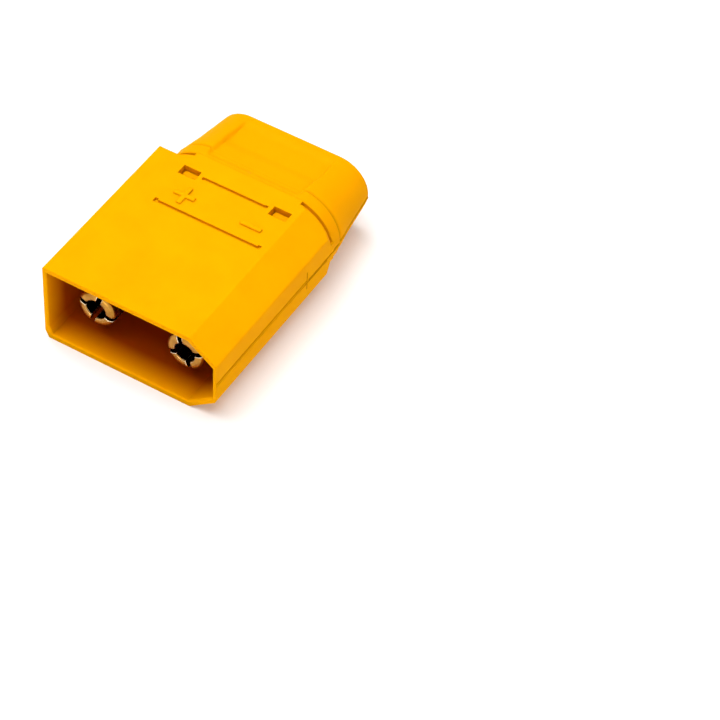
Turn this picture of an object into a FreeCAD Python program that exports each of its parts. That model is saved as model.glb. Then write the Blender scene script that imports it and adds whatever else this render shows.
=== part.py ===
import FreeCAD, Part
import math
import os
import Sketcher

# Two-pole battery connector, pin half: a polarised nylon shroud, two split pins with solder
# cups, and the cover that latches on behind the shroud and closes the cups off.
# Every body is drawn about the middle of the mating mouth: X across the two pins, Y from the
# mouth back to the cable, Z up.  The assembly then stands on its broad side, with the origin
# under the middle of the whole connector.

DIMENSIONS = [
    # outside of the shroud
    ("housing_width", 21.1),
    ("housing_height", 10.3),
    ("key_width", 3.2),
    ("key_height", 2.5),
    ("key_edge_radius", 0.45),
    ("foot_width", 0.45),
    ("foot_height", 0.95),
    ("plain_edge_radius", 0.2),
    # mating cavity
    ("side_wall", 0.45),
    ("broad_wall", 0.7),
    ("cavity_depth", 12.4),
    ("mouth_lead", 0.15),
    # contact seats in the partition
    ("partition_thickness", 5.0),
    ("seat_thickness", 2.0),
    ("seat_clearance", 0.05),
    # latch windows and the recess that takes the cover
    ("rear_wall", 1.2),
    ("window_shift", 0.15),
    ("window_setback", 0.75),
    ("window_width", 2.15),
    ("window_length", 1.35),
    ("window_land", 2.3),
    # rounded neck
    ("neck_length", 1.35),
    ("neck_slope", 1.4),
    ("neck_lip", 0.43),
    ("neck_inset", 0.55),
    ("neck_gap", 0.28),
    ("neck_angle", 64.0),
    # lines that frame the marking place
    ("panel_length", 4.95),
    ("panel_side_inset", 0.125),
    ("panel_window_gap", 0.475),
    ("panel_rear_setback", 0.5),
    ("panel_line_width", 0.4),
    ("panel_line_depth", 0.3),
    ("panel_return", 0.6),
    ("panel_rear_return", 0.5),
    # mould parting line on the narrow sides
    ("parting_width", 0.2),
    ("parting_depth", 0.12),
    ("parting_drop", 0.14),
    ("witness_height", 2.5),
    # contacts
    ("pin_shift", 0.05),
    ("pin_diameter", 4.5),
    ("pin_bore", 2.4),
    ("pin_bore_depth", 7.4),
    ("pin_recess", 1.95),
    ("pin_tip_round", 0.55),
    ("pin_lip_bevel", 0.1),
    ("slot_width", 0.6),
    ("slot_length", 5.0),
    ("plus_slot_angle", -15.0),
    ("minus_slot_angle", 20.0),
    ("root_step", 0.25),
    ("shoulder_step", 0.6),
    ("collar_clearance", 0.45),
    ("collar_length", 0.8),
    ("cup_clearance", 0.2),
    ("cup_wall", 0.6),
    ("cup_length", 8.4),
    ("cup_depth", 6.6),
    ("scoop_setback", 2.2),
    ("scoop_radius", 1.6),
    ("scoop_level", 0.6),
    # rear cover
    ("sleeve_gap", 0.2),
    ("sleeve_wall", 0.7),
    ("sleeve_clearance", 0.05),
    ("hook_width", 1.85),
    ("hook_length", 1.15),
    ("hook_height", 0.62),
    ("hook_flat", 0.6),
    ("flange_length", 1.45),
    ("flange_inset", 0.1),
    ("flange_step", 0.15),
    ("flange_groove_depth", 0.2),
    ("flange_groove_length", 0.3),
    ("hood_length", 7.85),
    ("knee_start", 0.85),
    ("knee_length", 1.8),
    ("knee_side_draft", 0.325),
    ("knee_broad_draft", 0.425),
    ("end_side_draft", 0.65),
    ("end_broad_draft", 0.85),
    ("cable_end_bevel", 0.25),
    ("cover_wall", 0.85),
    # shallow thumb panel on each broad face of the cover
    ("thumb_overlap", 0.1),
    ("thumb_setback", 0.4),
    ("thumb_ramp", 0.55),
    ("thumb_depth", 0.28),
    ("thumb_fall", 0.22),
    ("thumb_step_setback", 3.95),
    ("thumb_step", 0.27),
    ("thumb_end_gap", 1.9),
    ("thumb_end_fall", 0.31),
]

doc = FreeCAD.newDocument("battery_connector")
sheet = doc.addObject("Spreadsheet::Sheet", "Dimensions")
for row, (alias, number) in enumerate(DIMENSIONS, start=1):
    sheet.set("A%d" % row, alias)
    sheet.set("B%d" % row, str(number))
    sheet.setAlias("B%d" % row, alias)
doc.recompute()


class Size:
    """A value worked out from the sheet, kept as a number and as the expression behind it."""

    def __init__(self, number, text):
        self.number = number
        self.text = text

    def join(self, other, sign, number):
        text = other.text if isinstance(other, Size) else repr(float(other))
        return Size(number, "(%s %s %s)" % (self.text, sign, text))

    def __add__(self, other):
        return self.join(other, "+", self.number + plain(other))

    def __sub__(self, other):
        return self.join(other, "-", self.number - plain(other))

    def __mul__(self, other):
        return self.join(other, "*", self.number * plain(other))

    def __truediv__(self, other):
        return self.join(other, "/", self.number / plain(other))

    def __neg__(self):
        return Size(-self.number, "(0 - %s)" % self.text)


def plain(value):
    """The number in a Size, or the number itself."""
    return value.number if isinstance(value, Size) else float(value)


def size(alias):
    """A driving dimension by its name in the sheet."""
    return Size(float(sheet.get(alias)), "Dimensions.%s" % alias)


ZERO = Size(0.0, "0")

# Widths and heights that several pieces share.
half_width = size("housing_width") / 2
half_height = size("housing_height") / 2
round_centre = half_width - half_height
pin_offset = round_centre + size("pin_shift")
window_offset = pin_offset + size("window_shift")
recess_half_width = half_width - size("rear_wall")
recess_half_height = half_height - size("rear_wall")
sleeve_half_width = recess_half_width - size("sleeve_clearance")
sleeve_half_height = recess_half_height - size("sleeve_clearance")
hollow_half_width = sleeve_half_width - size("sleeve_wall")
hollow_half_height = sleeve_half_height - size("sleeve_wall")
flange_half_width = half_width - size("flange_inset")
hood_half_width = flange_half_width - size("flange_step")
hood_half_height = half_height - size("flange_step")
knee_half_width = hood_half_width - size("knee_side_draft")
knee_half_height = hood_half_height - size("knee_broad_draft")
end_half_width = knee_half_width - size("end_side_draft")
end_half_height = knee_half_height - size("end_broad_draft")

# Radii of the contacts, stepped down from the recess and the hollow that hold them.
collar_radius = recess_half_height - size("collar_clearance")
shoulder_radius = collar_radius - size("shoulder_step")
root_radius = shoulder_radius - size("root_step")
cup_radius = hollow_half_height - size("cup_clearance")
cup_bore_radius = cup_radius - size("cup_wall")

# Depths behind the mouth, each counted on from the one before it.
seat_depth = size("cavity_depth") + size("seat_thickness")
partition_rear = size("cavity_depth") + size("partition_thickness")
collar_rear = partition_rear + size("collar_length")
sleeve_front = collar_rear + size("sleeve_gap")
window_front = sleeve_front + size("window_setback")
window_rear = window_front + size("window_length")
seam = window_rear + size("window_land")
prism_rear = seam - size("neck_length")
hood_front = seam + size("flange_length")
knee_front = hood_front + size("knee_start")
knee_rear = knee_front + size("knee_length")
cable_end = hood_front + size("hood_length")
cup_rear = collar_rear + size("cup_length")
cup_floor = cup_rear - size("cup_depth")


def add_body(label):
    """A new body whose label names its file, set down so that the connector rests on z = 0."""
    body = doc.addObject("PartDesign::Body", label)
    body.Label = label
    body.setExpression("Placement.Base.y", (-cable_end / 2).text)
    body.setExpression("Placement.Base.z", half_height.text)
    return body


def origin_plane(body, role):
    """One of the body's own origin planes."""
    return next(item for item in body.Origin.OriginFeatures if item.Role == role)


def add_sketch(body, name, role, lift=ZERO):
    """A sketch on an origin plane, lifted along that plane's normal."""
    sketch = body.newObject("Sketcher::SketchObject", name)
    sketch.AttachmentSupport = [(origin_plane(body, role), "")]
    sketch.MapMode = "FlatFace"
    sketch.AttachmentOffset = FreeCAD.Placement(FreeCAD.Vector(0, 0, lift.number), FreeCAD.Rotation())
    sketch.setExpression("AttachmentOffset.Base.z", lift.text)
    return sketch


def add_cross_section(body, name, depth):
    """A sketch square to the mating direction, at a depth behind the mouth."""
    return add_sketch(body, name, "XZ_Plane", -depth)


def drive(sketch, kind, *parts):
    """A dimension of the sketch bound to the sheet; the last part is its Size."""
    target = parts[-1]
    index = sketch.addConstraint(Sketcher.Constraint(kind, *parts[:-1], target.number))
    sketch.setExpression("Constraints[%d]" % index, target.text)


def locate(sketch, edge, end, point):
    """Dimension one end of an edge from the sketch origin."""
    drive(sketch, "DistanceX", -1, 1, edge, end, point[0])
    drive(sketch, "DistanceY", -1, 1, edge, end, point[1])


def vector(point):
    return FreeCAD.Vector(point[0].number, point[1].number, 0)


def draw_loop(sketch, points):
    """A closed outline of straight edges with every corner dimensioned."""
    edges = []
    for start, end in zip(points, points[1:] + points[:1]):
        edges.append(sketch.addGeometry(Part.LineSegment(vector(start), vector(end)), False))
    for edge, following in zip(edges, edges[1:] + edges[:1]):
        sketch.addConstraint(Sketcher.Constraint("Coincident", edge, 2, following, 1))
    for edge, point in zip(edges, points):
        locate(sketch, edge, 1, point)


def draw_rectangle(sketch, left, right, low, high):
    draw_loop(sketch, [(left, low), (right, low), (right, high), (left, high)])


def draw_circle(sketch, centre_x, centre_y, radius):
    circle = Part.Circle(vector((centre_x, centre_y)), FreeCAD.Vector(0, 0, 1), radius.number)
    edge = sketch.addGeometry(circle, False)
    locate(sketch, edge, 3, (centre_x, centre_y))
    drive(sketch, "Radius", edge, radius)


def draw_stadium(sketch, across, up):
    """A flat-topped outline with full-round ends, given by its half width and half height."""
    centre = across - up
    middle = centre.number
    radius = up.number
    normal = FreeCAD.Vector(0, 0, 1)
    quarter = math.pi / 2
    right_circle = Part.Circle(FreeCAD.Vector(middle, 0, 0), normal, radius)
    left_circle = Part.Circle(FreeCAD.Vector(-middle, 0, 0), normal, radius)
    right = sketch.addGeometry(Part.ArcOfCircle(right_circle, -quarter, quarter), False)
    top = sketch.addGeometry(
        Part.LineSegment(FreeCAD.Vector(middle, radius, 0), FreeCAD.Vector(-middle, radius, 0)), False)
    left = sketch.addGeometry(Part.ArcOfCircle(left_circle, quarter, 3 * quarter), False)
    foot = sketch.addGeometry(
        Part.LineSegment(FreeCAD.Vector(-middle, -radius, 0), FreeCAD.Vector(middle, -radius, 0)), False)
    for first, second in ((right, top), (top, left), (left, foot), (foot, right)):
        sketch.addConstraint(Sketcher.Constraint("Tangent", first, 2, second, 1))
    sketch.addConstraint(Sketcher.Constraint("Equal", right, left))
    sketch.addConstraint(Sketcher.Constraint("PointOnObject", right, 3, -1))
    sketch.addConstraint(Sketcher.Constraint("PointOnObject", left, 3, -1))
    drive(sketch, "Radius", right, up)
    drive(sketch, "DistanceX", -1, 1, right, 3, centre)
    drive(sketch, "DistanceX", left, 3, -1, 1, centre)


def finish(feature):
    """Bring the document up to date and stop on a failed feature."""
    doc.recompute()
    if "Invalid" in feature.State or "Error" in feature.State:
        raise RuntimeError("%s did not build" % feature.Name)
    return feature


def pad(body, name, sketch, length, reverse=False, both_ways=False):
    feature = body.newObject("PartDesign::Pad", name)
    feature.Profile = sketch
    feature.Length = length.number
    feature.setExpression("Length", length.text)
    feature.Reversed = reverse
    feature.SideType = "Symmetric" if both_ways else "One side"
    return finish(feature)


def pocket(body, name, sketch, length, reverse=False, both_ways=False):
    """Cut a profile out, and stop if the cut met nothing."""
    before = body.Shape.Volume
    feature = body.newObject("PartDesign::Pocket", name)
    feature.Profile = sketch
    feature.Length = length.number
    feature.setExpression("Length", length.text)
    feature.Reversed = reverse
    feature.SideType = "Symmetric" if both_ways else "One side"
    finish(feature)
    if not body.Shape.Volume < before:
        raise RuntimeError("%s cuts nothing" % name)
    return feature


def loft(body, name, sketches, cut=False):
    kind = "PartDesign::SubtractiveLoft" if cut else "PartDesign::AdditiveLoft"
    feature = body.newObject(kind, name)
    feature.Profile = sketches[0]
    feature.Sections = sketches[1:]
    feature.Ruled = True
    return finish(feature)


def mirror_up_and_across(body, name, originals, across=True):
    """Repeat features below the middle plane and, where asked, on the other side."""
    feature = body.newObject("PartDesign::MultiTransform", name)
    feature.Originals = originals
    steps = []
    for role in ("XY_Plane", "YZ_Plane") if across else ("XY_Plane",):
        step = body.newObject("PartDesign::Mirrored", name + "_" + role[:2].lower())
        step.MirrorPlane = (origin_plane(body, role), [""])
        steps.append(step)
    feature.Transformations = steps
    body.Tip = feature
    return finish(feature)


def edges_along(shape, x, z):
    """Names of the edges that run front to back through a point of the cross-section."""
    names = []
    for number, edge in enumerate(shape.Edges, start=1):
        ends = [vertex.Point for vertex in edge.Vertexes]
        if len(ends) == 2 and all(abs(end.x - x) < 1e-6 and abs(end.z - z) < 1e-6 for end in ends):
            names.append("Edge%d" % number)
    return names


def round_edges(body, name, base, edge_names, radius):
    feature = body.newObject("PartDesign::Fillet", name)
    feature.Base = (base, edge_names)
    feature.Radius = radius.number
    feature.setExpression("Radius", radius.text)
    return finish(feature)


def bevel_edges(body, name, base, edge_names, width):
    feature = body.newObject("PartDesign::Chamfer", name)
    feature.Base = (base, edge_names)
    feature.Size = width.number
    feature.setExpression("Size", width.text)
    return finish(feature)


def shroud_outline(inset_side, inset_broad):
    """Cross-section of the shroud: the bevelled side carries the polarity, the other is square."""
    across = half_width - inset_side
    up = half_height - inset_broad
    # a wall of even thickness moves the ends of each bevel by a share of the two insets
    key_across = size("key_width") - inset_side * 0.5
    key_up = size("key_height") - inset_broad * 0.3
    return [
        (-across, -up + size("foot_height")),
        (-across + size("foot_width"), -up),
        (across - key_across, -up),
        (across, -up + key_up),
        (across, up - key_up),
        (across - key_across, up),
        (-across, up),
    ]


def build_housing():
    body = add_body("housing")
    add_shroud(body)
    cut_rear(body)
    shape_neck(body)
    cut_windows(body)
    engrave_panel(body)
    engrave_parting_line(body)
    return body


def add_shroud(body):
    """The bevelled prism and its mating cavity."""
    outline = add_cross_section(body, "shroud_outline", ZERO)
    draw_loop(outline, shroud_outline(ZERO, ZERO))
    prism = pad(body, "shroud", outline, seam, reverse=True)
    key_x = (half_width - size("key_width")).number
    key_z = (half_height - size("key_height")).number
    across = half_width.number
    up = half_height.number
    bevels = []
    for x, z in ((key_x, up), (key_x, -up), (across, key_z), (across, -key_z)):
        bevels += edges_along(prism.Shape, x, z)
    rounded = round_edges(body, "bevel_edges", prism, bevels, size("key_edge_radius"))
    foot_x = (-half_width + size("foot_width")).number
    foot_z = (-half_height + size("foot_height")).number
    corners = []
    for x, z in ((-across, up), (-across, foot_z), (foot_x, -up)):
        corners += edges_along(rounded.Shape, x, z)
    round_edges(body, "square_edges", rounded, corners, size("plain_edge_radius"))
    cavity = add_cross_section(body, "cavity_outline", ZERO)
    draw_loop(cavity, shroud_outline(size("side_wall"), size("broad_wall")))
    pocket(body, "mating_cavity", cavity, size("cavity_depth"))
    lead = size("mouth_lead")
    wide = add_cross_section(body, "mouth_outline", ZERO)
    draw_loop(wide, shroud_outline(size("side_wall") - lead, size("broad_wall") - lead))
    narrow = add_cross_section(body, "mouth_root", lead)
    draw_loop(narrow, shroud_outline(size("side_wall"), size("broad_wall")))
    loft(body, "mouth_lead_in", [wide, narrow], cut=True)


def cut_rear(body):
    """The recess behind the partition, and the stepped seats of the two contacts."""
    recess = add_cross_section(body, "recess_outline", partition_rear)
    draw_stadium(recess, recess_half_width, recess_half_height)
    pocket(body, "cover_recess", recess, seam - partition_rear)
    seats = add_cross_section(body, "seat_circles", seat_depth)
    holes = add_cross_section(body, "pin_circles", size("cavity_depth"))
    for side in (-pin_offset, pin_offset):
        draw_circle(seats, side, ZERO, shoulder_radius + size("seat_clearance"))
        draw_circle(holes, side, ZERO, root_radius + size("seat_clearance"))
    pocket(body, "contact_seats", seats, partition_rear - seat_depth)
    pocket(body, "pin_holes", holes, size("seat_thickness"))


def shape_neck(body):
    """Turn the four rear corners down to the cover's round by a cone, with a dark gap behind it."""
    neck_radius = half_height - size("neck_inset")
    rise = (size("neck_length") - size("neck_lip")) / size("neck_slope")
    outside = half_height * 2
    profile = [
        (neck_radius, seam + 1),
        (neck_radius, seam - size("neck_gap")),
        (half_height, seam - size("neck_lip")),
        (half_height + rise, prism_rear),
        (outside, prism_rear),
        (outside, seam + 1),
    ]
    for number, (side, angle) in enumerate(((1, -45), (1, 45), (-1, -135), (-1, 135)), start=1):
        sketch = add_sketch(body, "neck_profile_%d" % number, "XY_Plane")
        turn = FreeCAD.Rotation(FreeCAD.Vector(0, 1, 0), angle)
        sketch.AttachmentOffset = FreeCAD.Placement(FreeCAD.Vector(0, 0, 0), turn)
        sketch.setExpression("AttachmentOffset.Base.x", (round_centre * side).text)
        draw_loop(sketch, profile)
        groove = body.newObject("PartDesign::Groove", "neck_%d" % number)
        groove.Profile = sketch
        groove.ReferenceAxis = (sketch, ["V_Axis"])
        groove.Midplane = True
        groove.Angle = size("neck_angle").number
        groove.setExpression("Angle", size("neck_angle").text)
        before = body.Shape.Volume
        finish(groove)
        if not body.Shape.Volume < before:
            raise RuntimeError("neck cuts nothing")


def cut_windows(body):
    """Latch windows over and under each contact."""
    sketch = add_sketch(body, "window_outlines", "XY_Plane", half_height)
    reach = size("window_width") / 2
    for side in (-window_offset, window_offset):
        draw_rectangle(sketch, side - reach, side + reach, window_front, window_rear)
    windows = pocket(body, "windows", sketch, size("rear_wall") + size("sleeve_wall"))
    mirror_up_and_across(body, "windows_both_faces", [windows], across=False)


def engrave_panel(body):
    """Two fine lines across each broad face, with short returns, frame the marking place."""
    sketch = add_sketch(body, "panel_lines", "XY_Plane", half_height)
    line = size("panel_line_width")
    front = window_front - size("panel_length")
    reach = window_offset + size("window_width") / 2 - size("panel_side_inset")
    tail = front + size("panel_return")
    draw_loop(sketch, [
        (-reach, front),
        (reach, front),
        (reach, tail),
        (reach - line, tail),
        (reach - line, front + line),
        (-reach + line, front + line),
        (-reach + line, tail),
        (-reach, tail),
    ])
    front = window_front + size("panel_rear_setback")
    reach = window_offset - size("window_width") / 2 - size("panel_window_gap")
    draw_loop(sketch, [
        (-reach, front),
        (reach, front),
        (reach, front + size("panel_rear_return")),
        (reach - line, front + size("panel_rear_return")),
        (reach - line, front + line),
        (-reach, front + line),
    ])
    lines = pocket(body, "panel", sketch, size("panel_line_depth"))
    mirror_up_and_across(body, "panel_both_faces", [lines], across=False)


def engrave_parting_line(body):
    """The mould line along both narrow sides, with its witness mark and small step."""
    depth = size("parting_depth")
    outside = half_width + 1
    front_line = add_sketch(body, "parting_front_plan", "XY_Plane")
    rear_line = add_sketch(body, "parting_rear_plan", "XY_Plane", -size("parting_drop"))
    witness = add_sketch(body, "witness_plan", "XY_Plane")
    mark = partition_rear
    width = size("parting_width")
    for sign in (-1, 1):
        inner = (half_width - depth) * sign
        outer = outside * sign
        draw_rectangle(front_line, inner, outer, depth, mark)
        draw_rectangle(rear_line, inner, outer, mark + width * 2, seam)
        draw_rectangle(witness, inner, outer, mark, mark + width)
    pocket(body, "parting_front", front_line, width, both_ways=True)
    pocket(body, "parting_rear", rear_line, width, both_ways=True)
    pocket(body, "witness", witness, size("witness_height"), both_ways=True)


def tapered_section(body, name, depth, across, up):
    sketch = add_cross_section(body, name, depth)
    draw_stadium(sketch, across, up)
    return sketch


def build_cover():
    body = add_body("rear_cover")
    add_cover_shell(body)
    press_thumb_panels(body)
    hollow_cover(body)
    add_hooks(body)
    engrave_cover_line(body)
    return body


def add_cover_shell(body):
    """Sleeve, flange and the tapered hood round the solder cups, with a groove behind the flange."""
    sleeve = tapered_section(body, "sleeve_outline", sleeve_front, sleeve_half_width, sleeve_half_height)
    pad(body, "sleeve", sleeve, hood_front - sleeve_front, reverse=True)
    flange = tapered_section(body, "flange_outline", seam, flange_half_width, half_height)
    pad(body, "flange", flange, size("flange_length"), reverse=True)
    groove = size("flange_groove_depth")
    groove_rear = hood_front + size("flange_groove_length")
    hood = loft(body, "hood", [
        tapered_section(body, "hood_groove", hood_front, hood_half_width - groove, hood_half_height - groove),
        tapered_section(body, "hood_root", groove_rear, hood_half_width, hood_half_height),
        tapered_section(body, "hood_shoulder", knee_front, hood_half_width, hood_half_height),
        tapered_section(body, "hood_knee", knee_rear, knee_half_width, knee_half_height),
        tapered_section(body, "hood_end", cable_end, end_half_width, end_half_height),
    ])
    rim = []
    for number, edge in enumerate(hood.Shape.Edges, start=1):
        if all(abs(vertex.Y - cable_end.number) < 1e-6 for vertex in edge.Vertexes):
            rim.append("Edge%d" % number)
    bevel_edges(body, "cable_end_edge", hood, rim, size("cable_end_bevel"))


def press_thumb_panels(body):
    """A shallow panel between the rounds of each broad face: two soft steps down, then a run-out."""
    first = seam + size("thumb_setback")
    second_level = half_height - size("thumb_depth")
    step = seam + size("thumb_step_setback")
    step_level = second_level - size("thumb_fall")
    run_level = step_level - size("thumb_step")
    stations = [
        (first, half_height),
        (first + size("thumb_ramp"), second_level),
        (step, step_level),
        (step + size("thumb_ramp"), run_level),
        (cable_end - size("thumb_end_gap"), run_level - size("thumb_end_fall")),
    ]
    across = round_centre + size("thumb_overlap")
    rise = half_height - run_level
    sections = []
    for number, (depth, level) in enumerate(stations, start=1):
        section = add_cross_section(body, "thumb_section_%d" % number, depth)
        draw_loop(section, [
            (-across, level),
            (across, level),
            (across + rise, level + rise),
            (-across - rise, level + rise),
        ])
        sections.append(section)
    panel = loft(body, "thumb_panel", sections, cut=True)
    mirror_up_and_across(body, "thumb_panels", [panel], across=False)


def hollow_cover(body):
    """Room for the solder cups, straight through the sleeve and flange, then narrowing to the cables."""
    thickness = size("cover_wall")
    loft(body, "hollow", [
        tapered_section(body, "hollow_front", sleeve_front, hollow_half_width, hollow_half_height),
        tapered_section(body, "hollow_middle", cup_rear, hollow_half_width, hollow_half_height),
        tapered_section(
            body, "hollow_rear", cable_end, end_half_width - thickness, end_half_height - thickness),
    ], cut=True)


def add_hooks(body):
    """Ramped hooks on the sleeve that spring up into the windows."""
    heel = window_rear - size("sleeve_clearance")
    root = sleeve_half_height - size("sleeve_wall") / 2
    crest = sleeve_half_height + size("hook_height")
    profile = [
        (heel - size("hook_length"), root),
        (heel, root),
        (heel, crest),
        (heel - size("hook_flat"), crest),
        (heel - size("hook_length"), sleeve_half_height),
    ]
    for name, side in (("hook_plus", -window_offset), ("hook_minus", window_offset)):
        sketch = add_sketch(body, name + "_profile", "YZ_Plane", side)
        draw_loop(sketch, profile)
        hook = pad(body, name, sketch, size("hook_width"), both_ways=True)
        mirror_up_and_across(body, name + "_pair", [hook], across=False)


def engrave_cover_line(body):
    """The mould line carried on along the tapered sides of the cover."""
    depth = size("parting_depth")
    sketch = add_sketch(body, "cover_parting_plan", "XY_Plane", -size("parting_drop"))
    stations = [
        (hood_half_width, hood_front),
        (hood_half_width, knee_front),
        (knee_half_width, knee_rear),
        (end_half_width, cable_end),
    ]
    for sign in (-1, 1):
        inner = [((across - depth) * sign, along) for across, along in stations]
        outer = [(half_width * sign, cable_end), (half_width * sign, hood_front)]
        draw_loop(sketch, inner + outer)
    pocket(body, "cover_parting", sketch, size("parting_width"), both_ways=True)


def build_contact(label, side, slot_angle):
    """A turned contact: split pin, shoulder and collar that seat in the partition, solder cup."""
    body = add_body(label)
    body.setExpression("Placement.Base.x", side.text)
    turn_contact(body)
    split_pin(body, slot_angle)
    open_cup(body)
    return body


def turn_contact(body):
    tip = size("pin_recess")
    pin = size("pin_diameter") / 2
    nose = size("pin_tip_round")
    profile = add_sketch(body, "contact_profile", "XY_Plane")
    draw_loop(profile, [
        (ZERO, tip),
        (pin - nose, tip),
        (pin - nose * 0.5, tip + nose * 0.134),
        (pin - nose * 0.134, tip + nose * 0.5),
        (pin, tip + nose),
        (pin, size("cavity_depth")),
        (root_radius, size("cavity_depth")),
        (root_radius, seat_depth),
        (shoulder_radius, seat_depth),
        (shoulder_radius, partition_rear),
        (collar_radius, partition_rear),
        (collar_radius, collar_rear),
        (cup_radius, collar_rear),
        (cup_radius, cup_rear),
        (ZERO, cup_rear),
    ])
    turned = body.newObject("PartDesign::Revolution", "turned_blank")
    turned.Profile = profile
    turned.ReferenceAxis = (profile, ["V_Axis"])
    turned.Angle = 360
    finish(turned)
    bore = add_cross_section(body, "pin_bore_circle", tip)
    draw_circle(bore, ZERO, ZERO, size("pin_bore") / 2)
    bored = pocket(body, "pin_bore", bore, size("pin_bore_depth"))
    lip = circle_edges(bored.Shape, tip.number, size("pin_bore").number / 2)
    bevel_edges(body, "lip_bevel", bored, lip, size("pin_lip_bevel"))
    well = add_cross_section(body, "cup_circle", cup_rear)
    draw_circle(well, ZERO, ZERO, cup_bore_radius)
    pocket(body, "cup_well", well, size("cup_depth"), reverse=True)


def circle_edges(shape, depth, radius):
    """Names of the full circles of one radius at one depth."""
    names = []
    for number, edge in enumerate(shape.Edges, start=1):
        curve = edge.Curve
        if not isinstance(curve, Part.Circle):
            continue
        if abs(curve.Center.y - depth) < 1e-6 and abs(curve.Radius - radius) < 1e-6:
            names.append("Edge%d" % number)
    return names


def split_pin(body, slot_angle):
    """Two slots across the pin leave four springy fingers."""
    sketch = add_cross_section(body, "slot_outline", size("pin_recess"))
    sketch.setExpression("AttachmentOffset.Rotation.Angle", slot_angle.text)
    reach = size("pin_diameter") / 2 + 1
    half_slot = size("slot_width") / 2
    draw_rectangle(sketch, -reach, reach, -half_slot, half_slot)
    slot = pocket(body, "slot", sketch, size("slot_length"))
    pattern = body.newObject("PartDesign::PolarPattern", "slots")
    pattern.Originals = [slot]
    pattern.Axis = (sketch, ["N_Axis"])
    pattern.Angle = 90
    pattern.Occurrences = 2
    body.Tip = pattern
    before = slot.Shape.Volume
    finish(pattern)
    if not body.Shape.Volume < before:
        raise RuntimeError("the second slot cuts nothing")


def draw_scoop(sketch, start, end, level, top):
    """A rectangle with its inner lower corner rounded off."""
    radius = size("scoop_radius")
    centre = vector((start + radius, level + radius))
    turn = Part.Circle(centre, FreeCAD.Vector(0, 0, 1), radius.number)
    wall = sketch.addGeometry(
        Part.LineSegment(vector((start, top)), vector((start, level + radius))), False)
    arc = sketch.addGeometry(Part.ArcOfCircle(turn, math.pi, math.pi * 1.5), False)
    floor = sketch.addGeometry(
        Part.LineSegment(vector((start + radius, level)), vector((end, level))), False)
    rear = sketch.addGeometry(Part.LineSegment(vector((end, level)), vector((end, top))), False)
    lid = sketch.addGeometry(Part.LineSegment(vector((end, top)), vector((start, top))), False)
    sketch.addConstraint(Sketcher.Constraint("Tangent", wall, 2, arc, 1))
    sketch.addConstraint(Sketcher.Constraint("Tangent", arc, 2, floor, 1))
    for first, second in ((floor, rear), (rear, lid), (lid, wall)):
        sketch.addConstraint(Sketcher.Constraint("Coincident", first, 2, second, 1))
    sketch.addConstraint(Sketcher.Constraint("Vertical", wall))
    sketch.addConstraint(Sketcher.Constraint("Horizontal", floor))
    locate(sketch, wall, 1, (start, top))
    locate(sketch, rear, 1, (end, level))
    locate(sketch, rear, 2, (end, top))
    drive(sketch, "Radius", arc, radius)


def open_cup(body):
    """Scoop the top of the solder cup away so that a wire end can be laid in."""
    sketch = add_sketch(body, "scoop_profile", "YZ_Plane")
    start = cup_floor + size("scoop_setback")
    draw_scoop(sketch, start, cup_rear + 1, size("scoop_level"), cup_radius * 2)
    pocket(body, "scoop", sketch, cup_radius * 4, both_ways=True)


def check_document():
    for item in doc.Objects:
        if "Invalid" in item.State or "Error" in item.State:
            raise RuntimeError("%s is in an error state" % item.Name)


def main():
    bodies = [
        build_housing(),
        build_cover(),
        build_contact("contact_plus", -pin_offset, size("plus_slot_angle")),
        build_contact("contact_minus", pin_offset, size("minus_slot_angle")),
    ]
    doc.recompute()
    check_document()
    os.makedirs("parts", exist_ok=True)
    for body in bodies:
        shape = body.Shape
        if shape.isNull() or not shape.isValid():
            raise RuntimeError("%s is not a valid solid" % body.Label)
        shape.exportStep("parts/%s.step" % body.Label)
        box = shape.BoundBox
        print("%-14s solids %d  faces %3d  volume %8.3f mm3  x %.2f..%.2f  y %.2f..%.2f  z %.2f..%.2f" % (
            body.Label, len(shape.Solids), len(shape.Faces), shape.Volume,
            box.XMin, box.XMax, box.YMin, box.YMax, box.ZMin, box.ZMax))


main()
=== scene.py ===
import math

import bmesh
import bpy
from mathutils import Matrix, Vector


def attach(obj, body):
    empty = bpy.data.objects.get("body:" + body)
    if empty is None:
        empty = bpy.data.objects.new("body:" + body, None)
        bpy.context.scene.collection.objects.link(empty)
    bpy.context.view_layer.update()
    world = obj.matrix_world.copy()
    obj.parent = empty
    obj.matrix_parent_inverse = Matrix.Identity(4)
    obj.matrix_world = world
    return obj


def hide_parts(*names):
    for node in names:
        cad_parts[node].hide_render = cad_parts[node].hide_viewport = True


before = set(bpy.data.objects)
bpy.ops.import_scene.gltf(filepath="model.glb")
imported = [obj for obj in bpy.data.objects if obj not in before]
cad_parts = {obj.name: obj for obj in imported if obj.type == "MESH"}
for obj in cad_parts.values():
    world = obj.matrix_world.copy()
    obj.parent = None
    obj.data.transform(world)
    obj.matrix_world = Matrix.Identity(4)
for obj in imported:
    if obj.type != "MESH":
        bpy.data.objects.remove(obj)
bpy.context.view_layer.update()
print("frame loaded:", sorted(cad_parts))

mm = 0.001
touching = 1e-7    # m, closer than this is the same place
cornerSamples = 8  # rays with which a material feels round each point for corners and crevices
waveRate = 20      # radians that the wave node turns through in one unit at scale 1
mixA, mixB, mixResult = 6, 7, 2  # sockets of a colour Mix node, whose names repeat

# What several pieces and finishes share, in mm.
connector = {
    "toMouth": 16.05,   # from the middle of the connector, where Y is 0, to the rim of its mouth
    "midHeight": 5.15,  # of both contacts' axes; the connector is mirrored about this level
    "pinOffset": 5.45,  # each contact's axis from the middle plane
}


def yBehindMouth(depth):
    # Y in metres of a place so many mm behind the mouth
    return (depth - connector["toMouth"]) * mm


def pointAt(across, depth, above):
    # a point in metres, from mm across from the middle plane, behind the mouth and above mid-height
    return Vector((across, depth - connector["toMouth"], connector["midHeight"] + above)) * mm


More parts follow.
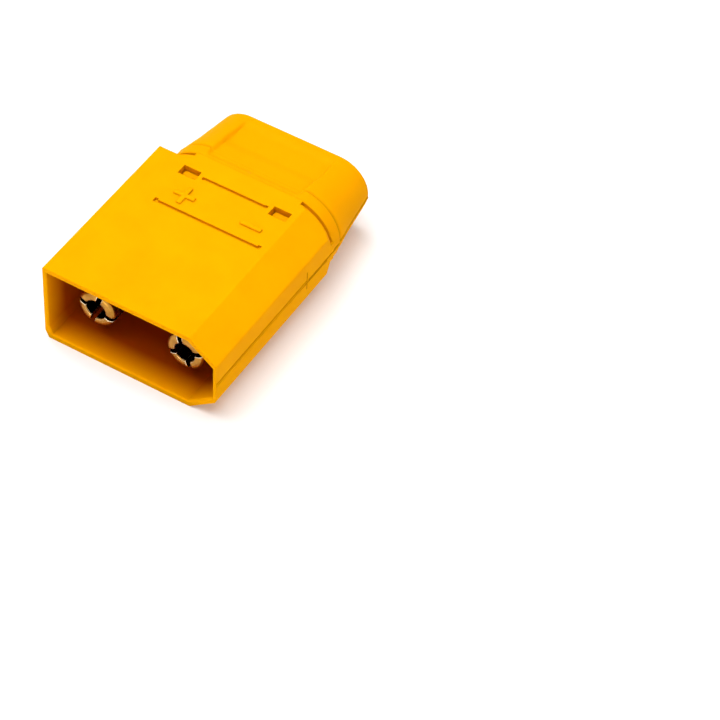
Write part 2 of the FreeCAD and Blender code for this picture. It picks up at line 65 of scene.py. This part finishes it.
def linear(hexColour):
    # sRGB hex to the linear colour that shaders use
    channels = [int(hexColour[i:i + 2], 16) / 255 for i in (1, 3, 5)]
    return [c / 12.92 if c <= 0.04045 else ((c + 0.055) / 1.055) ** 2.4 for c in channels] + [1.0]


def addNode(owner, kind, settings=None, inputs=None):
    # one node of a material or world; inputs hold plain values or the socket each one is fed from,
    # by name, or by number where names repeat
    node = owner.node_tree.nodes.new(kind)
    for name, value in (settings or {}).items():
        setattr(node, name, value)
    for name, value in (inputs or {}).items():
        if isinstance(value, bpy.types.NodeSocket):
            owner.node_tree.links.new(value, node.inputs[name])
        else:
            node.inputs[name].default_value = value
    return node


def newMaterial(name):
    material = bpy.data.materials.new(name)
    material.use_nodes = True
    material.node_tree.nodes.clear()
    return material


def spokeFrom(owner, axes, sideways):
    # the way out to the surface from a line along Y at mid-height, square to that line
    height = addNode(owner, "ShaderNodeMath", {"operation": "SUBTRACT"},
                     {0: axes.outputs["Z"], 1: connector["midHeight"] * mm})
    spoke = addNode(owner, "ShaderNodeCombineXYZ", None, {"X": sideways, "Z": height.outputs["Value"]})
    return spoke.outputs["Vector"]


def seenRays(owner):
    # 1 for the rays along which something is seen, straight, mirrored or through clear material,
    # 0 for those that only carry light
    rays = addNode(owner, "ShaderNodeLightPath")
    seen = rays.outputs["Is Camera Ray"]
    for kind in ("Is Glossy Ray", "Is Transmission Ray"):
        either = addNode(owner, "ShaderNodeMath", {"operation": "MAXIMUM"}, {0: seen, 1: rays.outputs[kind]})
        seen = either.outputs["Value"]
    return seen


# Moulded nylon: unfilled, dyed right through, shot into a fine-spark-eroded tool. A strong warm yellow
# with a soft sheen; every edge keeps the small round of the tool, and the melt leaves slow shifts of tone.
nylonLook = {
    "housingColour": "#FFAB00",
    "coverColour": "#FFA700",
    "deepColour": "#FDA500",
    "toneRange": (0.3, 0.7),         # cloud levels at which the deep and the plain colour are reached
    "cloudSize": 5.0,                # mm, slow shifts of tone left by the flow of the melt
    "creviceShadeColour": "#E29A00",      # painted shade in the corners and creases, where less light reaches
    "creviceShadeReach": 1.2,             # mm
    "creviceShadeRange": (0.7, 0.985),    # openness at which the painted shade is full and at which it is gone
    "mouthShadeColour": "#BE5000",       # painted shade on the walls of the mouth, deeper inside where little light gets in
    "cavity": {"start": 0.0, "full": 3.2, "end": 12.55,  # mm behind the mouth
               "across": 10.15,      # mm from the middle plane, just past the inner walls
               "slack": 0.01},       # mm, so that the partition's own face counts too
    "speckSize": 0.22,               # mm, spark-eroded grain; the real 0.05 mm or so wouldn't show
    "grainHeight": 0.004,            # mm
    "waveHeight": 0.012,             # mm, shallow sink marks
    "edgeRound": 0.11,               # mm, radius that the tool leaves on the edges
    "bleed": 0.18,                   # unfilled nylon passes a little light, so fine lines never go black
    "bleedReach": 0.6,               # mm
    "bleedShares": (1.0, 0.75, 0.25),  # of that reach for red, green and blue
    "grainRange": (0.3, 0.7),        # noise levels of the grain's pits and tips
    "roughness": (0.45, 0.58),       # in the pits and on the tips
    "gloss": 0.006,                  # specular level; the eroded skin hardly mirrors
}


def mouthWalls(owner, place, cavity):
    # 1 on the walls of the mouth, which are painted with shade: faces turned towards the connector's own
    # axis, up to its partition
    axes = addNode(owner, "ShaderNodeSeparateXYZ", None, {"Vector": place})
    sideways = addNode(owner, "ShaderNodeMath", {"operation": "ABSOLUTE"}, {0: axes.outputs["X"]})
    surface = addNode(owner, "ShaderNodeNewGeometry")
    outward = addNode(owner, "ShaderNodeVectorMath", {"operation": "DOT_PRODUCT"},
                      {0: spokeFrom(owner, axes, axes.outputs["X"]), 1: surface.outputs["True Normal"]})
    fading = addNode(owner, "ShaderNodeMapRange", None,
                     {"Value": axes.outputs["Y"], "From Min": yBehindMouth(cavity["start"]),
                      "From Max": yBehindMouth(cavity["full"])})
    walls = fading.outputs["Result"]
    for value, limit in ((axes.outputs["Y"], yBehindMouth(cavity["end"])),
                         (sideways.outputs["Value"], cavity["across"] * mm),
                         (outward.outputs["Value"], cavity["slack"] * mm)):
        below = addNode(owner, "ShaderNodeMath", {"operation": "LESS_THAN"}, {0: value, 1: limit})
        both = addNode(owner, "ShaderNodeMath", {"operation": "MULTIPLY"},
                       {0: walls, 1: below.outputs["Value"]})
        walls = both.outputs["Value"]
    return walls


def mouldedNylon(name, look, colour):
    material = newMaterial(name)
    place = addNode(material, "ShaderNodeTexCoord").outputs["Object"]
    clouds = addNode(material, "ShaderNodeTexNoise", {"noise_dimensions": "3D"},
                     {"Vector": place, "Scale": 1 / (look["cloudSize"] * mm), "Detail": 3.0,
                      "Roughness": 0.55})
    tone = addNode(material, "ShaderNodeValToRGB", None, {"Fac": clouds.outputs["Fac"]})
    for stop, level, tint in zip(tone.color_ramp.elements, look["toneRange"], (look["deepColour"], colour)):
        stop.position = level
        stop.color = linear(tint)
    # painted shade: corners and creases found by ambient occlusion are painted a darker amber
    openness = addNode(material, "ShaderNodeAmbientOcclusion", {"samples": cornerSamples},
                       {"Distance": look["creviceShadeReach"] * mm})
    unshaded = addNode(material, "ShaderNodeMapRange", None,
                    {"Value": openness.outputs["AO"], "From Min": look["creviceShadeRange"][0],
                     "From Max": look["creviceShadeRange"][1]})
    skin = addNode(material, "ShaderNodeMix", {"data_type": "RGBA"},
                   {"Factor": unshaded.outputs["Result"], mixA: linear(look["creviceShadeColour"]),
                    mixB: tone.outputs["Color"]})
    # painted shade: the walls of the mouth go to a deep amber from the rim inwards
    skin = addNode(material, "ShaderNodeMix", {"data_type": "RGBA"},
                   {"Factor": mouthWalls(material, place, look["cavity"]), mixA: skin.outputs[mixResult],
                    mixB: linear(look["mouthShadeColour"])})
    grain = addNode(material, "ShaderNodeTexNoise", {"noise_dimensions": "3D"},
                    {"Vector": place, "Scale": 1 / (look["speckSize"] * mm), "Detail": 2.0, "Roughness": 0.6})
    sheen = addNode(material, "ShaderNodeMapRange", None,
                    {"Value": grain.outputs["Fac"], "From Min": look["grainRange"][0],
                     "From Max": look["grainRange"][1], "To Min": look["roughness"][0],
                     "To Max": look["roughness"][1]})
    rounded = addNode(material, "ShaderNodeBevel", {"samples": cornerSamples},
                      {"Radius": look["edgeRound"] * mm})
    fine = addNode(material, "ShaderNodeBump", None,
                   {"Height": grain.outputs["Fac"], "Strength": 0.35, "Distance": look["grainHeight"] * mm,
                    "Normal": rounded.outputs["Normal"]})
    sink = addNode(material, "ShaderNodeBump", None,
                   {"Height": clouds.outputs["Fac"], "Strength": 0.5, "Distance": look["waveHeight"] * mm,
                    "Normal": fine.outputs["Normal"]})
    shader = addNode(material, "ShaderNodeBsdfPrincipled", None,
                     {"Base Color": skin.outputs[mixResult], "Roughness": sheen.outputs["Result"],
                      "Normal": sink.outputs["Normal"], "IOR": 1.53, "Specular IOR Level": look["gloss"],
                      "Subsurface Weight": look["bleed"], "Subsurface Radius": look["bleedShares"],
                      "Subsurface Scale": look["bleedReach"] * mm})
    addNode(material, "ShaderNodeOutputMaterial", None, {"Surface": shader.outputs["BSDF"]})
    return material


# Gold-plated brass: turned, nickel flashed and gold plated. Bright, warm and a little soft, with the
# lathe's rings showing through the plating. The bore and the slots are painted dark brown as shade,
# where little light reaches down them, and the edges carry a painted highlight.
goldLook = {
    "colour": "#C28C3A",
    "warmColour": "#9C6A24",
    "toneRange": (0.35, 0.65),       # patch levels at which the warm and the plain colour are reached
    "patchSize": 1.6,                # mm, slow shifts of tone in the plating
    "edgeHighlightColour": "#FFF0D0",         # painted highlight along the edges
    "edgeRound": 0.2,                # mm
    "edgeHighlightRange": (0.96, 0.82),       # how far rounded and flat normals agree: plain face, fully painted highlight
    # painted shade: the inside of each pin's bore
    "boreShadeColour": "#2A160B",
    "boreRadius": 1.2,               # mm
    "boreShadeFade": (0.005, 0.04),    # mm outside the bore at which the painted shade gives way to gold, and where the gold is full
    "slotReach": 1.2,                # mm
    "slotRange": (0.85, 0.99),       # openness at which a slot is fully painted shade and at which the plain gold shows
    "slotEnd": 12.45,                # mm behind the mouth; the solder cups stay bright
    "ringPitch": 0.754,              # mm, feed marks of the lathe; the real 0.1 mm or so wouldn't show
    "ringHeight": 0.004,             # mm
    "roughness": (0.24, 0.29),       # between and on the rings
}


def goldPlate(name, look):
    material = newMaterial(name)
    place = addNode(material, "ShaderNodeTexCoord").outputs["Object"]
    rings = addNode(material, "ShaderNodeTexWave", {"wave_type": "BANDS", "bands_direction": "Y"},
                    {"Vector": place, "Scale": math.tau / (waveRate * look["ringPitch"] * mm),
                     "Distortion": 1.5, "Detail": 1.0})
    patches = addNode(material, "ShaderNodeTexNoise", {"noise_dimensions": "3D"},
                      {"Vector": place, "Scale": 1 / (look["patchSize"] * mm), "Detail": 2.0})
    tone = addNode(material, "ShaderNodeValToRGB", None, {"Fac": patches.outputs["Fac"]})
    tints = (look["warmColour"], look["colour"])
    for stop, level, tint in zip(tone.color_ramp.elements, look["toneRange"], tints):
        stop.position = level
        stop.color = linear(tint)
    # distance from the contact's own axis, the same for both because one mirrors the other
    axes = addNode(material, "ShaderNodeSeparateXYZ", None, {"Vector": place})
    across = addNode(material, "ShaderNodeMath", {"operation": "ABSOLUTE"}, {0: axes.outputs["X"]})
    fromAxis = addNode(material, "ShaderNodeMath", {"operation": "SUBTRACT"},
                       {0: across.outputs["Value"], 1: connector["pinOffset"] * mm})
    radius = addNode(material, "ShaderNodeVectorMath", {"operation": "LENGTH"},
                     {0: spokeFrom(material, axes, fromAxis.outputs["Value"])})
    # painted shade: inside the bore the colour is dark brown, fading to gold just outside it
    outsideBore = addNode(material, "ShaderNodeMapRange", None,
                     {"Value": radius.outputs["Value"],
                      "From Min": (look["boreRadius"] + look["boreShadeFade"][0]) * mm,
                      "From Max": (look["boreRadius"] + look["boreShadeFade"][1]) * mm})
    skin = addNode(material, "ShaderNodeMix", {"data_type": "RGBA"},
                   {"Factor": outsideBore.outputs["Result"], mixA: linear(look["boreShadeColour"]),
                    mixB: tone.outputs["Color"]})
    # painted shade: down the slots of the pin, where ambient occlusion finds little light, the colour goes to
    # the same dark brown
    openness = addNode(material, "ShaderNodeAmbientOcclusion", {"samples": cornerSamples},
                       {"Distance": look["slotReach"] * mm})
    lit = addNode(material, "ShaderNodeMapRange", None,
                  {"Value": openness.outputs["AO"], "From Min": look["slotRange"][0],
                   "From Max": look["slotRange"][1]})
    behind = addNode(material, "ShaderNodeMath", {"operation": "GREATER_THAN"},
                     {0: axes.outputs["Y"], 1: yBehindMouth(look["slotEnd"])})
    bright = addNode(material, "ShaderNodeMath", {"operation": "MAXIMUM"},
                     {0: lit.outputs["Result"], 1: behind.outputs["Value"]})
    skin = addNode(material, "ShaderNodeMix", {"data_type": "RGBA"},
                   {"Factor": bright.outputs["Value"], mixA: linear(look["boreShadeColour"]),
                    mixB: skin.outputs[mixResult]})
    rounded = addNode(material, "ShaderNodeBevel", {"samples": cornerSamples},
                      {"Radius": look["edgeRound"] * mm})
    surface = addNode(material, "ShaderNodeNewGeometry")
    straight = addNode(material, "ShaderNodeVectorMath", {"operation": "DOT_PRODUCT"},
                       {0: rounded.outputs["Normal"], 1: surface.outputs["True Normal"]})
    highlightShare = addNode(material, "ShaderNodeMapRange", None,
                        {"Value": straight.outputs["Value"], "From Min": look["edgeHighlightRange"][0],
                         "From Max": look["edgeHighlightRange"][1]})
    # painted highlight: edges, where the rounded normal turns away from the flat one, are painted pale cream
    skin = addNode(material, "ShaderNodeMix", {"data_type": "RGBA"},
                   {"Factor": highlightShare.outputs["Result"], mixA: skin.outputs[mixResult],
                    mixB: linear(look["edgeHighlightColour"])})
    sheen = addNode(material, "ShaderNodeMapRange", None,
                    {"Value": rings.outputs["Fac"], "To Min": look["roughness"][0],
                     "To Max": look["roughness"][1]})
    marks = addNode(material, "ShaderNodeBump", None,
                    {"Height": rings.outputs["Fac"], "Strength": 0.04, "Distance": look["ringHeight"] * mm,
                     "Normal": rounded.outputs["Normal"]})
    shader = addNode(material, "ShaderNodeBsdfPrincipled", None,
                     {"Base Color": skin.outputs[mixResult], "Metallic": 1.0,
                      "Roughness": sheen.outputs["Result"], "Normal": marks.outputs["Normal"]})
    addNode(material, "ShaderNodeOutputMaterial", None, {"Surface": shader.outputs["BSDF"]})
    return material


housingNylon = mouldedNylon("mouldedNylonHousing", nylonLook, nylonLook["housingColour"])
coverNylon = mouldedNylon("mouldedNylonCover", nylonLook, nylonLook["coverColour"])
contactGold = goldPlate("goldPlatedBrass", goldLook)
print("materials made")


def dress(nodeName, material):
    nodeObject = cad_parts[nodeName]
    nodeObject.data.materials.clear()
    nodeObject.data.materials.append(material)


dress("housing", housingNylon)
dress("rear_cover", coverNylon)
dress("contact_plus", contactGold)
dress("contact_minus", contactGold)
print("pieces dressed")


def addObject(name, data):
    thing = bpy.data.objects.new(name, data)
    bpy.context.scene.collection.objects.link(thing)
    return thing


def addPiece(mesh, name, material):
    # the finished mesh becomes an object, shaded smooth
    for face in mesh.faces:
        face.smooth = True
    data = bpy.data.meshes.new(name)
    mesh.to_mesh(data)
    mesh.free()
    data.materials.append(material)
    return addObject(name, data)


def addBlock(mesh, size, middle):
    made = bmesh.ops.create_cube(mesh, size=1.0)["verts"]
    bmesh.ops.scale(mesh, verts=made, vec=size)
    bmesh.ops.translate(mesh, verts=made, vec=middle)
    return made


def roundEdges(mesh, edges, offset, segments, clamped=False):
    # offset in mm; one segment makes a plain chamfer
    return bmesh.ops.bevel(mesh, geom=edges, offset=offset * mm, offset_type="OFFSET", segments=segments,
                           profile=0.5, affect="EDGES", material=-1, clamp_overlap=clamped)


def bentOver(edge, degrees):
    return len(edge.link_faces) == 2 and edge.calc_face_angle() > math.radians(degrees)


# The hood, flange and sleeve are one moulding, so one closed shell: a ring the shape of a slot with
# round ends is drawn along the connector, down the outside, round the cable end and back up the inside.
# All in mm; a station is a place behind the mouth, then the half width and half height there.
coverShape = {
    "flange": {"front": 22.8, "rear": 24.25, "across": 10.45, "up": 5.15, "edge": 0.07, "steps": 10},
    "groove": [(24.27, 0.26), (24.35, 0.26), (24.57, 0.052)],  # places and how deep it is there
    "hood": [(24.65, 10.3, 5.0), (25.1, 10.3, 5.0), (26.9, 9.975, 4.575), (32.1, 9.325, 3.725)],
    "hoodFront": 24.62,        # where the groove ends
    "hoodStep": 0.16,          # from ring to ring
    "cornerGap": 0.05,         # nearest that a ring comes to a corner of the outline
    "kneeSoftness": 0.5,       # how far the bends of the hood are spread along it
    "endRound": {"radius": 0.28, "steps": 5, "marked": 4},  # the marks stop at the last rings
    "hollow": [(32.1, 8.555, 2.955), (32.0, 8.475, 2.875), (26.6, 8.6, 3.2), (18.4, 8.6, 3.2)],
    "sleeve": [(18.4, 9.22, 3.82), (18.48, 9.3, 3.9), (22.8, 9.3, 3.9)],
    "flatShares": [0.0, 0.2, 0.4, 0.58, 0.7, 0.78, 0.84, 0.88, 0.91, 0.94, 0.97],  # of the flat's half
    "bendAngles": [0.0, 1.5, 3.0, 4.5, 6.0, 7.5, 9.0, 11.0, 14.0, 18.0, 23.0, 29.0, 35.0, 42.0, 49.0,
                   56.0, 63.0, 70.0, 76.0, 81.0, 85.0],  # degrees from the top
    # the thumb panel: places along it with their height over mid-height, then its sides and softness
    "panel": {"front": 22.9, "halfWidth": 5.5, "wallSlope": 1.1, "softness": 0.2, "spread": 0.22,
              "levels": [(22.95, 5.2), (23.8, 4.72), (26.1, 4.38), (27.2, 3.96), (30.2, 3.7), (31.7, 3.95)]},
    # the mould line: levels from mid-height and how proud the side is there, a gap and a bead of flash
    "mouldLine": [(-0.025, 0.0), (-0.055, -0.12), (-0.225, -0.12), (-0.255, 0.0),
                  (-0.3, 0.0), (-0.336, 0.07), (-0.384, 0.07), (-0.42, 0.0)],
    "hooks": {"across": 5.6, "width": 1.85, "front": 19.3, "rear": 20.45, "foot": 3.4, "crest": 4.52,
              "ramp": 0.5, "cornerRound": 0.28, "edgeRound": 0.09, "sharp": 25},  # sharp in degrees
    "crisp": 38,               # degrees; sharper edges than this aren't shaded smooth
}


def along(stations, depth):
    # a value read off straight runs between stations
    for (start, low), (end, high) in zip(stations, stations[1:]):
        if depth <= end:
            share = min(1.0, max(0.0, (depth - start) / (end - start)))
            return low + (high - low) * share
    return stations[-1][1]


def softAlong(stations, depth, spread):
    # the same with its bends spread out, from the mean of a few places either side
    steps = (-1.0, -0.6, -0.3, 0.0, 0.3, 0.6, 1.0)
    return sum(along(stations, depth + spread * step) for step in steps) / len(steps)


def softLower(high, low, softness):
    # the lower of two levels, with a rounded corner where they cross
    share = min(1.0, max(0.0, 0.5 + 0.5 * (high - low) / softness))
    return high + (low - high) * share - softness * share * (1.0 - share)


def ringSpots(shape):
    # the spots round one ring: side, top or bottom, kind, its share, angle or level, and how proud it is
    quarter = [("flat", share, 0.0) for share in shape["flatShares"]]
    quarter += [("bend", angle, 0.0) for angle in shape["bendAngles"]]
    top = [(1, 1) + spot for spot in quarter]
    right = [(1, 0, "side", level, proud) for level, proud in shape["mouldLine"]]
    bottom = [(1, -1) + spot for spot in reversed(quarter)]
    half = top + right + bottom
    left = [(-1,) + spot[1:] for spot in reversed(half) if spot[2:4] != ("flat", 0.0)]
    return half + left


def ringPoint(spot, depth, across, up, marked, shape):
    # where one spot of a ring lies; marked rings carry the mould line and the thumb panel
    sideways, upward, kind, value, proud = spot
    panel = shape["panel"]
    centre = across - up
    if kind == "side":
        x = centre + math.sqrt(up * up - value * value) + (proud if marked else 0.0)
        return pointAt(x * sideways, depth, value)
    if kind == "flat":
        x, z = centre * value, up
    else:
        x, z = centre + up * math.sin(math.radians(value)), up * math.cos(math.radians(value))
    if marked and depth > panel["front"]:
        level = softAlong(panel["levels"], depth, panel["spread"])
        level += max(0.0, x - panel["halfWidth"]) * panel["wallSlope"]
        z = softLower(z, level, panel["softness"])
    return pointAt(x * sideways, depth, z * upward)


def coverRings(shape):
    # each ring's station, and whether it carries the marks
    flange, hood, end = shape["flange"], shape["hood"], shape["endRound"]
    front, rear, across, up, edge = (flange[key] for key in ("front", "rear", "across", "up", "edge"))
    lip = edge * 0.3  # a round's middle stays this far inside its corner
    rings = [(front, across - edge, up - edge, False), (front + lip, across - lip, up - lip, True)]
    for step in range(flange["steps"] + 1):
        depth = front + edge + (rear - front - 2 * edge) * step / flange["steps"]
        rings.append((depth, across, up, True))
    rings += [(rear - lip, across - lip, up - lip, True), (rear, across - edge, up - edge, True)]
    for depth, low in shape["groove"]:
        rings.append((depth, hood[0][1] - low, hood[0][2] - low, True))
    widths = [(depth, across) for depth, across, up in hood]
    heights = [(depth, up) for depth, across, up in hood]
    roundFront = hood[-1][0] - end["radius"]
    depth = shape["hoodFront"] + shape["cornerGap"]
    while depth < roundFront - shape["cornerGap"]:
        spread = min(shape["kneeSoftness"], depth - shape["hoodFront"])
        rings.append((depth, softAlong(widths, depth, spread), softAlong(heights, depth, spread), True))
        depth += shape["hoodStep"]
    for step in range(end["steps"] + 1):
        turn = math.radians(90 * step / end["steps"])
        inward = end["radius"] * (1 - math.cos(turn))
        depth = roundFront + end["radius"] * math.sin(turn)
        rings.append((depth, along(widths, depth) - inward, along(heights, depth) - inward,
                      step < end["marked"]))
    return rings + [station + (False,) for station in shape["hollow"] + shape["sleeve"]]


def edgesAt(vertices):
    # every edge that ends at one of them, each once
    return list(dict.fromkeys(edge for vertex in vertices for edge in vertex.link_edges))


def addHooks(mesh, hooks):
    # ramped at the front, square at the back, every corner rounded
    size = Vector((hooks["width"], hooks["rear"] - hooks["front"], hooks["crest"] - hooks["foot"])) * mm
    for sideways in (-1, 1):
        for upward in (-1, 1):
            middle = pointAt(hooks["across"] * sideways, (hooks["rear"] + hooks["front"]) / 2,
                             upward * (hooks["crest"] + hooks["foot"]) / 2)
            found = addBlock(mesh, size, middle)
            crest, foot = middle.z + upward * size.z / 2, middle.z - upward * size.z / 2
            front = middle.y - size.y / 2
            lip = [edge for edge in edgesAt(found)
                   if all(abs(v.co.z - crest) < touching and abs(v.co.y - front) < touching
                          for v in edge.verts)]
            made = roundEdges(mesh, lip, hooks["ramp"], 1)["verts"]
            found = [v for v in found if v.is_valid] + made
            uprights = [edge for edge in edgesAt(found)
                        if (edge.verts[0].co - edge.verts[1].co).xy.length < touching]
            made = roundEdges(mesh, uprights, hooks["cornerRound"], 4)["verts"]
            found = [v for v in found if v.is_valid] + made
            rims = [edge for edge in edgesAt(found) if bentOver(edge, hooks["sharp"])
                    and any(abs(v.co.z - foot) > touching for v in edge.verts)]
            roundEdges(mesh, rims, hooks["edgeRound"], 2, clamped=True)


def buildRearCover(shape):
    mesh = bmesh.new()
    spots = ringSpots(shape)
    spotLayer = mesh.verts.layers.int.new("spot")
    ring = bmesh.ops.create_circle(mesh, cap_ends=False, segments=len(spots), radius=1.0)["verts"]
    for number, vertex in enumerate(ring):
        vertex[spotLayer] = number
    firstEdges = list(mesh.edges)
    edges = firstEdges
    for count, (depth, across, up, marked) in enumerate(coverRings(shape)):
        if count:
            made = bmesh.ops.extrude_edge_only(mesh, edges=edges)["geom"]
            ring = [item for item in made if isinstance(item, bmesh.types.BMVert)]
            edges = [item for item in made if isinstance(item, bmesh.types.BMEdge)]
        for vertex in ring:
            vertex.co = ringPoint(spots[vertex[spotLayer]], depth, across, up, marked, shape)
    bmesh.ops.bridge_loops(mesh, edges=edges + firstEdges)
    addHooks(mesh, shape["hooks"])
    bmesh.ops.recalc_face_normals(mesh, faces=mesh.faces)
    for edge in mesh.edges:
        edge.smooth = not bentOver(edge, shape["crisp"])
    cover = addPiece(mesh, "rearCover", coverNylon)
    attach(cover, "root")
    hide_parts("rear_cover")
    print("rear cover built:", len(cover.data.polygons), "faces")


buildRearCover(coverShape)


# The two halves of the mould meet a little below mid-height and leave a fine raised flash there.
flashShape = {"across": 10.55, "front": 0.15, "rear": 21.4, "level": -0.36, "thick": 0.12, "proud": 0.06,
              "edge": 0.042}  # mm, the level from mid-height


def buildFlash(shape):
    mesh = bmesh.new()
    size = Vector((shape["proud"] * 2, shape["rear"] - shape["front"], shape["thick"])) * mm
    for sideways in (-1, 1):
        addBlock(mesh, size, pointAt(shape["across"] * sideways, (shape["rear"] + shape["front"]) / 2,
                                     shape["level"]))
    lengthwise = [edge for edge in mesh.edges if edge.calc_length() > size.y / 2]
    roundEdges(mesh, lengthwise, shape["edge"], 2)
    flash = addPiece(mesh, "partingFlash", housingNylon)
    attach(flash, "root")


buildFlash(flashShape)


# Raised polarity signs in the marking place between the two engraved lines: plus on the square side of
# the shroud, minus on the bevelled side.
signShape = {"along": 16.55, "across": 4.1, "level": 10.3, "reach": 1.25, "thick": 0.52, "height": 0.25,
             "edge": 0.1,   # all in mm
             "sharp": 30,   # degrees
             "arms": ((-1, "xy"), (1, "x"))}  # each side's sign and the ways in which its arms point


def buildSigns(shape):
    mesh = bmesh.new()
    thick, height = shape["thick"] * mm, shape["height"] * 2 * mm  # half of the height is sunk in
    reach = (shape["reach"] - shape["thick"] / 2) * mm
    for sideways, ways in shape["arms"]:
        made = addBlock(mesh, Vector((thick, thick, height)), Vector())
        faces = dict.fromkeys(face for vertex in made for face in vertex.link_faces)
        for face in [face for face in faces if any(abs(getattr(face.normal, way)) > 0.5 for way in ways)]:
            push = face.normal * reach
            grown = bmesh.ops.extrude_discrete_faces(mesh, faces=[face])["faces"][0]
            bmesh.ops.translate(mesh, verts=grown.verts, vec=push)
            made += grown.verts
        place = pointAt(shape["across"] * sideways, shape["along"], shape["level"] - connector["midHeight"])
        bmesh.ops.translate(mesh, verts=list(dict.fromkeys(made)), vec=place)
    bmesh.ops.remove_doubles(mesh, verts=mesh.verts, dist=touching)
    bmesh.ops.recalc_face_normals(mesh, faces=mesh.faces)
    rims = [edge for edge in mesh.edges
            if bentOver(edge, shape["sharp"]) and min(v.co.z for v in edge.verts) > shape["level"] * mm]
    roundEdges(mesh, rims, shape["edge"], 3)
    signs = addPiece(mesh, "polaritySigns", housingNylon)
    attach(signs, "root")


buildSigns(signShape)
print("flash and signs built")


floorLook = {"size": 1.2, "colour": "#F0F0F0", "glow": 0.16}  # size in m; the glow is for the eye alone


def addFloor(look):
    mesh = bmesh.new()
    bmesh.ops.create_grid(mesh, x_segments=1, y_segments=1, size=look["size"])
    material = newMaterial("paperSweep")  # matt white photo paper
    glowLevel = addNode(material, "ShaderNodeMath", {"operation": "MULTIPLY"},
                        {0: seenRays(material), 1: look["glow"]})
    glow = addNode(material, "ShaderNodeEmission", None, {"Strength": glowLevel.outputs["Value"]})
    paper = addNode(material, "ShaderNodeBsdfDiffuse", None, {"Color": linear(look["colour"])})
    both = addNode(material, "ShaderNodeAddShader", None,
                   {0: paper.outputs["BSDF"], 1: glow.outputs["Emission"]})
    addNode(material, "ShaderNodeOutputMaterial", None, {"Surface": both.outputs["Shader"]})
    floor = addPiece(mesh, "floor", material)


addFloor(floorLook)
print("floor laid")


# Places and sizes in m, power in W; every lamp points at the middle of the connector.
lamps = {
    "overheadSoftbox": {"place": (0.0, -0.07, 0.5), "size": 0.5, "power": 2.4, "colour": "#FFFFFF"},
    "leftSoftbox": {"place": (-0.18, 0.03, 0.42), "size": 0.4, "power": 1.33, "colour": "#FFFFFF"},
    "rightFill": {"place": (0.45, 0.0, 0.10), "size": 0.35, "power": 0.6, "colour": "#FFFFFF"},
    "frontCard": {"place": (0.08, -0.42, 0.03), "size": 0.2, "power": 0.58, "colour": "#FFFFFF"},
}
lampTarget = (0.0, 0.0, 0.005)
roomLight = 0.05


def addLamp(name, look, target):
    data = bpy.data.lights.new(name, "AREA")
    data.shape = "SQUARE"
    data.size = look["size"]
    data.energy = look["power"]
    data.color = linear(look["colour"])[:3]
    lamp = addObject(name, data)
    lamp.location = look["place"]
    lamp.rotation_euler = (Vector(target) - lamp.location).to_track_quat("-Z", "Y").to_euler()


def addRoom(strength):
    # white where it is looked at, dim as a light
    world = bpy.data.worlds.new("room")
    bpy.context.scene.world = world
    world.use_nodes = True
    world.node_tree.nodes.clear()
    level = addNode(world, "ShaderNodeMapRange", None,
                    {"Value": seenRays(world), "To Min": strength, "To Max": 1.0})
    air = addNode(world, "ShaderNodeBackground", None, {"Strength": level.outputs["Result"]})
    addNode(world, "ShaderNodeOutputWorld", None, {"Surface": air.outputs["Background"]})


for lampName, lampLook in lamps.items():
    addLamp(lampName, lampLook, lampTarget)
addRoom(roomLight)
print("lights set")


# Placed by fitting the corners of the shroud in the photograph: 303 mm away, 33 degrees round
# towards the bevelled side and 46 degrees up.
cameraLook = {
    "lens": 145.16,
    "sensor": 36.0,
    "place": (115.084, -179.958, 224.179),  # mm
    "turn": (42.143, -2.479, 31.038),       # degrees about X, Y and Z; the picture leans a little
    "clip": (0.01, 10.0),                   # m
}


def addCamera(look):
    data = bpy.data.cameras.new("photoCamera")
    data.lens = look["lens"]
    data.sensor_width = look["sensor"]
    data.clip_start, data.clip_end = look["clip"]
    camera = addObject("photoCamera", data)
    camera.location = Vector(look["place"]) * mm
    camera.rotation_euler = [math.radians(angle) for angle in look["turn"]]
    bpy.context.scene.camera = camera


addCamera(cameraLook)
print("camera set")

bpy.context.scene.view_settings.view_transform = "Standard"
